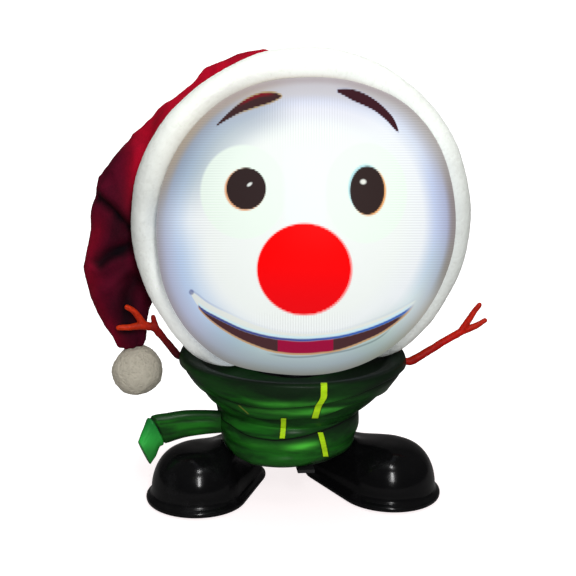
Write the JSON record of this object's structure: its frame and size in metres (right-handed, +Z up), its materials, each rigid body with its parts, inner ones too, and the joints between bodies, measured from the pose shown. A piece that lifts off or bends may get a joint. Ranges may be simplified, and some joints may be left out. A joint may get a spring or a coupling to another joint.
{
  "type": "animated snowman figure",
  "caption": "Tabletop snowman with a face projected inside a frosted dome head, plush hat with hanging tail, moulded scarf body, twig arms and splayed boots.",
  "frame": {"origin": "centre of the whole figure's footprint box, on the floor plane", "axes": "+Z up through the head, -Y is the way the face looks, +X is to the viewer's right when looking at the face"},
  "size_m": [0.3184, 0.2334, 0.3577],
  "materials": {
    "frosted_dome": "frosted, even diffuse white",
    "white_plastic": "satin",
    "red_plush": "short crimson pile with a velvet sheen",
    "cream_fleece": "dense cream fleece",
    "grey_fleece": "grey-cream fleece",
    "green_gloss": "moulded gloss green with painted yellow-green strips",
    "gloss_black": "high gloss",
    "matt_black": "fine matt",
    "twig_plastic": "red-brown, paling to orange at the tips",
    "circuit_board": "solder-masked laminate",
    "plated_steel": "plated",
    "aluminium": "satin",
    "lens_glass": "clear, polished",
    "cone_paper": "pressed black paper",
    "cell_jacket": "plain printed jacket, no marks",
    "rubber": "matt",
    "red_button": "gloss"
  },
  "bodies": {
    "figure": {"base_plate": "matt_black", "battery_box": "matt_black", "battery_cell_1": "cell_jacket", "battery_cell_2": "cell_jacket", "battery_cell_3": "cell_jacket", "battery_cell_4": "cell_jacket", "battery_contact_left": "plated_steel", "battery_contact_right": "plated_steel", "battery_door_pin": "plated_steel", "condenser_lens": "lens_glass", "controller_chip": "matt_black", "dome_clamp_ring": "white_plastic", "face_dome": "frosted_dome", "hat_bag": "red_plush", "hat_pompom": "grey_fleece", "hat_trim": "cream_fleece", "head_rear_shell": "white_plastic", "heat_sink": "aluminium", "lcd_panel": "lens_glass", "led_board": "circuit_board", "led_emitter": "white_plastic", "left_boot": "gloss_black", "left_heel_pad": "rubber", "left_sole_plate": "matt_black", "left_toe_pad": "rubber", "lens_holder": "matt_black", "main_board": "circuit_board", "mode_switch_body": "plated_steel", "neck_tube": "matt_black", "play_button_switch": "matt_black", "power_socket": "matt_black", "projector_bracket": "plated_steel", "projector_cover": "matt_black", "projector_housing": "matt_black", "right_boot": "gloss_black", "right_heel_pad": "rubber", "right_sole_plate": "matt_black", "right_toe_pad": "rubber", "scarf_front_shell": "green_gloss", "scarf_rear_shell": "green_gloss", "scarf_tail": "green_gloss", "speaker_frame": "plated_steel", "speaker_magnet": "plated_steel", "top_pan": "matt_black", "volume_control": "matt_black", "wire_harness": "matt_black"},
    "left_arm": {"left_arm": "twig_plastic"},
    "right_arm": {"right_arm": "twig_plastic"},
    "play_button": {"play_button": "red_button"},
    "mode_switch": {"mode_switch_knob": "matt_black"},
    "volume_wheel": {"volume_wheel": "matt_black"},
    "battery_door": {"battery_door": "green_gloss", "battery_door_screw": "plated_steel"},
    "focus_ring": {"focus_ring": "matt_black"},
    "lens_cell": {"lens_cell": "aluminium", "objective_lens": "lens_glass"},
    "speaker_cone": {"speaker_cone": "cone_paper"}
  },
  "joints": [
    {"name": "left_arm_turn", "type": "hinge", "parent": "figure", "child": "left_arm", "pos_m": [-0.08217, 0.03933, 0.1146], "axis": [1, 0, 0], "range_deg": [-6, 45]},
    {"name": "right_arm_turn", "type": "hinge", "parent": "figure", "child": "right_arm", "pos_m": [0.09183, 0.02043, 0.1126], "axis": [1, 0, 0], "range_deg": [-45, 45]},
    {"name": "play_button_press", "type": "slide", "parent": "figure", "child": "play_button", "axis": [0.788, -0.6157, 0], "range_m": [0, 0.0015], "stiffness_N_per_m": 600},
    {"name": "mode_switch_slide", "type": "slide", "parent": "figure", "child": "mode_switch", "axis": [0, 1, 0], "range_m": [-0.003, 0.003]},
    {"name": "volume_wheel_turn", "type": "hinge", "parent": "figure", "child": "volume_wheel", "pos_m": [0.05103, 0.04143, 0.066], "axis": [0, 0, 1], "range_deg": [-140, 140]},
    {"name": "battery_door_hinge", "type": "hinge", "parent": "figure", "child": "battery_door", "pos_m": [0.00483, 0.09173, 0.0472], "axis": [-1, 0, 0], "range_deg": [0, 95]},
    {"name": "focus_ring_turn", "type": "hinge", "parent": "figure", "child": "focus_ring", "pos_m": [0.00863, 0.02753, 0.2272], "axis": [0, 1, 0], "range_deg": [-63, 63]},
    {"name": "lens_cell_travel", "type": "slide", "parent": "figure", "child": "lens_cell", "axis": [0, 1, 0], "range_m": [-0.002, 0.002]},
    {"name": "speaker_cone_travel", "type": "slide", "parent": "figure", "child": "speaker_cone", "axis": [0, 0, 1], "range_m": [-0.0006, 0.0006], "stiffness_N_per_m": 2000}
  ],
  "couplings": [
    {"joint": "focus_ring_turn", "follows": "lens_cell_travel", "rad_per_m": 523.6}
  ]
}
